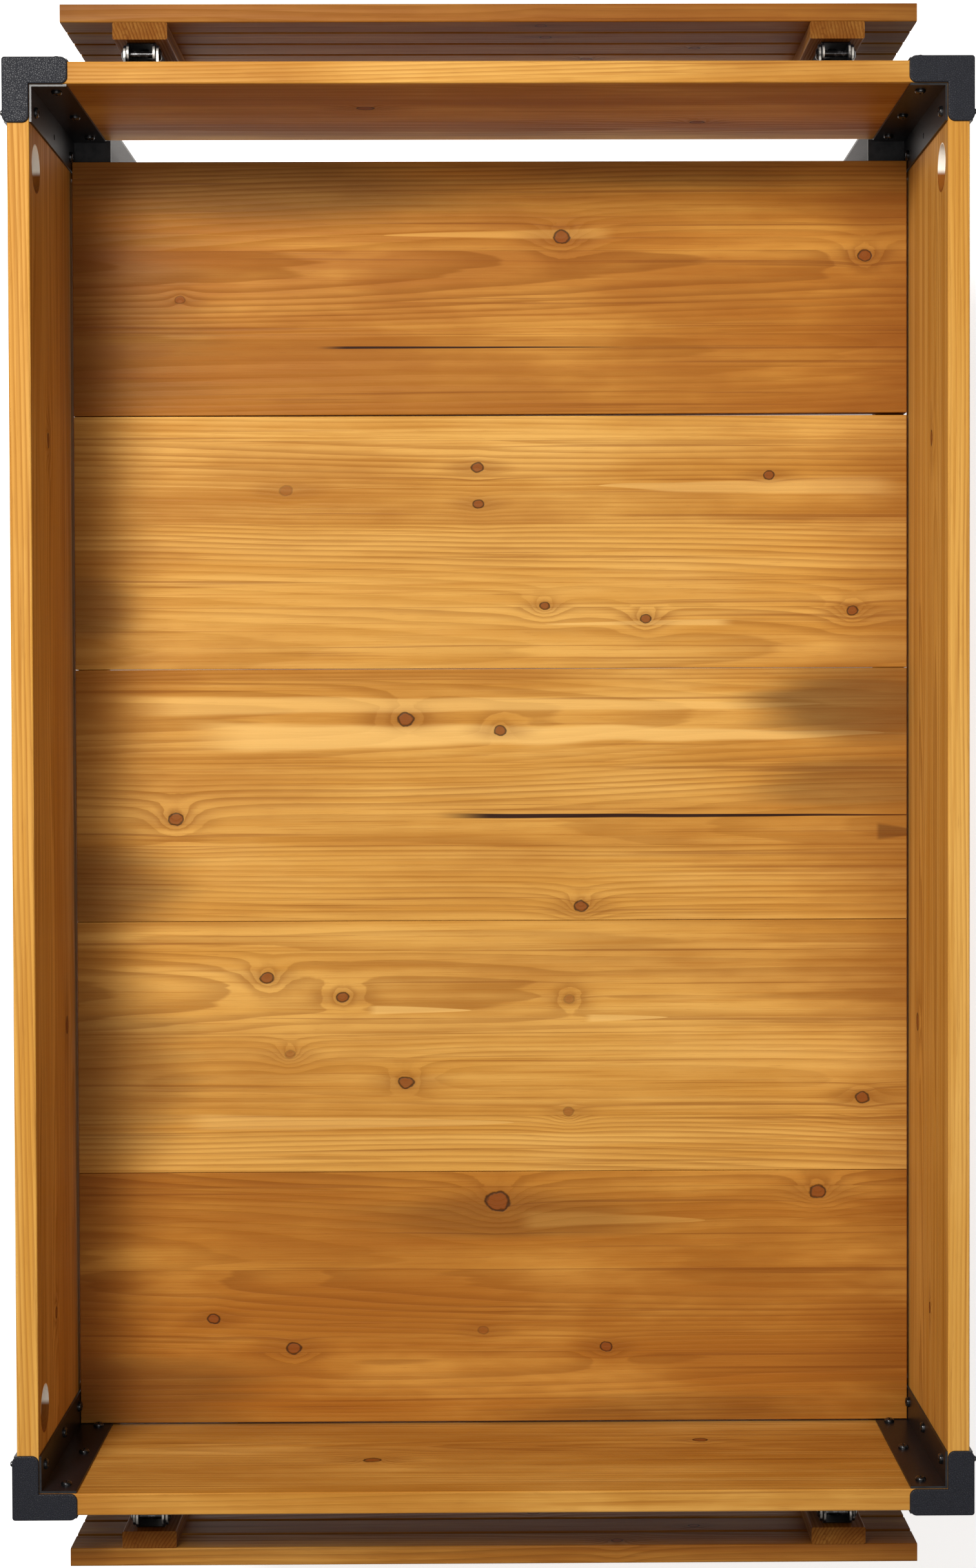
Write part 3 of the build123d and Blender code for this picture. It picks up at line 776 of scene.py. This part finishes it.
    def build(self) -> None:
        """Dresses the walls, the floor and its battens."""
        for side, seed in zip(SIDES, (3.17, 8.41)):
            knots = (Knot(0.31, 0.03, 0.005), Knot(-0.22, -0.05, 0.006), Knot(-0.47, 0.02, 0.004))
            node = f"{side}_side_board"
            board = Timber("wall", Axis.Y, Axis.Z, seed, knots, tone=-0.22, end_shade=0.1,
                           ports=self.ports[side])
            self.dresser.dress(node, board.material(node))
        for end, seed in zip(ENDS, (5.63, 1.29)):
            node = f"{end}_end_board"
            knots = (Knot(-0.11, 0.02, 0.006), Knot(0.19, -0.04, 0.005))
            board = Timber("wall", Axis.X, Axis.Z, seed, knots, tone=0.12, end_shade=0.2)
            self.dresser.dress(node, board.material(node))
        # Boards 1 and 5 get a higher tone and the darker stain: on board 5 this is the wood's own tone, on
        # board 1 it is also painted shade.
        tones = {1: 0.20, 2: 0.0, 3: 0.05, 4: 0.0, 5: 0.16}
        for number, knots in self.floor_knots.items():
            node = f"floor_board_{number}"
            stain = self.darker_stain_and_shade if number in (1, 5) else Stain()
            board = Timber("floor", Axis.X, Axis.Y, 2.0 + number * 1.37, knots, self.floor_marks[number],
                           tones[number], stain=stain)
            self.dresser.dress(node, board.material(node))
        for side, seed in zip(SIDES, (6.2, 7.9)):
            node = f"{side}_floor_batten"
            self.dresser.dress(node, Timber("batten", Axis.Y, Axis.X, seed, tone=0.4).material(node))


@dataclass
class SteelCorners:
    """Inner angles, legs, caps, feet, bolts and nuts."""

    dresser: Dresser

    def build(self) -> None:
        """Dresses all the corner pieces."""
        for corner in CORNERS:
            self.dresser.coat(f"{corner}_inner_angle", Finish.INNER_STEEL)
            self.dresser.coat(f"{corner}_leg", Finish.LEG_STEEL)
            self.dresser.coat(f"{corner}_corner_cap", Finish.PLASTIC)
        self.dresser.coat("leg_feet", Finish.PLASTIC)
        for node in ("corner_bolts", "corner_nuts", "floor_screws"):
            self.dresser.coat(node, Finish.BLACK_HEADS)


@dataclass
class FoldingShelf:
    """One end's slats, battens and two brackets with their wire props."""

    dresser: Dresser
    end: str
    seed: float
    slats: int = 6
    # Painted shade: a darker copy of the plain stain, standing in for the shade on the hanging shelves.
    stain: Stain = Stain(pale=(0.54, 0.28, 0.07), light=(0.44, 0.21, 0.038), honey=(0.32, 0.120, 0.014),
                         amber=(0.20, 0.058, 0.005), late_wood_and_shade=(0.11, 0.030, 0.003))

    def build(self) -> None:
        """Dresses the shelf and its brackets."""
        for number in range(1, self.slats + 1):
            node = f"{self.end}_slat_{number}"
            seed = self.seed + number * 2.13
            knots = (Knot(0.09 * math.sin(seed * 5.0) + 0.1, 0.004, 0.004),)
            slat = Timber("slat", Axis.X, Axis.Z, seed, knots, tone=0.1, strip_w=0.2, stain=self.stain)
            self.dresser.dress(node, slat.material(node))
        for side in SIDES:
            node = f"{self.end}_{side}_shelf_batten"
            batten = Timber("batten", Axis.Z, Axis.X, self.seed + len(side), strip_w=0.2, ring_pitch=0.0030,
                            stain=self.stain)
            self.dresser.dress(node, batten.material(node))
            self.dresser.coat(f"{self.end}_{side}_wall_channel", Finish.BRACKET_STEEL)
            self.dresser.coat(f"{self.end}_{side}_arm", Finish.BRACKET_STEEL)
            self.dresser.coat(f"{self.end}_{side}_prop", Finish.ZINC)
        self.dresser.coat(f"{self.end}_shelf_screws", Finish.BLACK_HEADS)


# ---- studio --------------------------------------------------------------------------


@dataclass(frozen=True)
class Lamp:
    """A square soft light, placed over the box from the rim's height."""

    name: str
    x: float
    y: float
    over_rim: float
    size: float
    power: float
    colour: Colour


@dataclass
class Studio:
    """Pale floor, soft light and a camera looking straight down into the box."""

    rim_height: float
    camera_over_rim: float = 2.305
    camera_x: float = 0.0063
    camera_y: float = 0.0814
    tilt_x: float = 1.263
    tilt_y: float = 0.451
    roll: float = 0.202
    sensor: float = 24.0
    lens: float = 66.03
    shift: Span = (-0.0325, -0.0291)
    lamps: tuple[Lamp, ...] = (Lamp("key", -0.98, 1.30, 2.6, 0.8, 106.0, (1.0, 0.975, 0.93)),
                               Lamp("overhead", 0.2, -0.2, 3.2, 2.4, 37.0, (1.0, 0.99, 0.97)))
    aim_below_rim: float = 0.2
    backdrop_size: float = 80.0
    backdrop_glow: float = 0.6
    sky: Colour = (1.0, 0.96, 0.90)
    sky_strength: float = 0.15

    def floor(self) -> None:
        """A large pale sheet on the ground, bright as a lit backdrop."""
        bpy.ops.mesh.primitive_plane_add(size=self.backdrop_size)
        sheet = bpy.context.object
        sheet.name = "studio_floor"
        g = Graph("studio_paper")
        x, y, _ = g.place()
        tone = g.noise((x * 0.7, y * 0.7, 0.0), 1.0)
        colour = g.mix(tone, (0.86, 0.86, 0.86), (0.90, 0.90, 0.90))
        shader = g.node("ShaderNodeBsdfPrincipled", None,
                        {"Base Color": colour, "Roughness": 0.9, "Emission Color": (1.0, 1.0, 1.0, 1.0),
                         "Emission Strength": self.backdrop_glow})
        g.node("ShaderNodeOutputMaterial", None, {0: shader.outputs[0]})
        sheet.data.materials.append(g.material)

    def light(self, lamp: Lamp) -> None:
        """Hangs one square soft light, aimed at the middle of the box.

        Args:
            lamp: the light.
        """
        data = bpy.data.lights.new(lamp.name, "AREA")
        data.shape = "SQUARE"
        data.size = lamp.size
        data.energy = lamp.power
        data.color = lamp.colour
        holder = bpy.data.objects.new(lamp.name, data)
        bpy.context.scene.collection.objects.link(holder)
        spot = Vector((lamp.x, lamp.y, self.rim_height + lamp.over_rim))
        holder.location = spot
        aim = Vector((0.0, 0.0, self.rim_height - self.aim_below_rim)) - spot
        holder.rotation_euler = aim.to_track_quat("-Z", "Y").to_euler()

    def camera(self) -> None:
        """The camera over the box, with its small tilt, roll and shift."""
        data = bpy.data.cameras.new("overhead")
        data.sensor_fit = "HORIZONTAL"
        data.sensor_width = self.sensor
        data.lens = self.lens
        data.shift_x, data.shift_y = self.shift
        data.dof.use_dof = False
        holder = bpy.data.objects.new("overhead", data)
        bpy.context.scene.collection.objects.link(holder)
        turn = Vector((math.radians(self.tilt_x), math.radians(self.tilt_y), math.radians(self.roll)))
        spin = Matrix.Rotation(-turn.length, 4, turn.normalized())
        spot = Vector((self.camera_x, self.camera_y, self.rim_height + self.camera_over_rim))
        holder.matrix_world = Matrix.Translation(spot) @ spin
        bpy.context.scene.camera = holder

    def build(self) -> None:
        """Sets the whole studio up."""
        self.floor()
        for lamp in self.lamps:
            self.light(lamp)
        world = bpy.data.worlds.new("studio")
        world.use_nodes = True
        background = world.node_tree.nodes["Background"]
        background.inputs[0].default_value = (*self.sky, 1.0)
        background.inputs[1].default_value = self.sky_strength
        bpy.context.scene.world = world
        bpy.context.scene.view_settings.view_transform = "Standard"
        self.camera()


def main() -> None:
    """Builds every sub-assembly in order and sets the studio round them."""
    logging.basicConfig(level=logging.INFO, format="%(name)s: %(message)s")
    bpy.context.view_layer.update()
    dresser = Dresser()
    TimberBox(dresser).build()
    SteelCorners(dresser).build()
    for node in ("wall_channel_screws", "bracket_rivets"):
        dresser.coat(node, Finish.BLACK_HEADS)
    for end, seed in zip(ENDS, (12.3, 27.9)):
        FoldingShelf(dresser, end, seed).build()
    rim_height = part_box("left_side_board")[1].z
    Studio(rim_height).build()


if __name__ == "__main__":
    main()
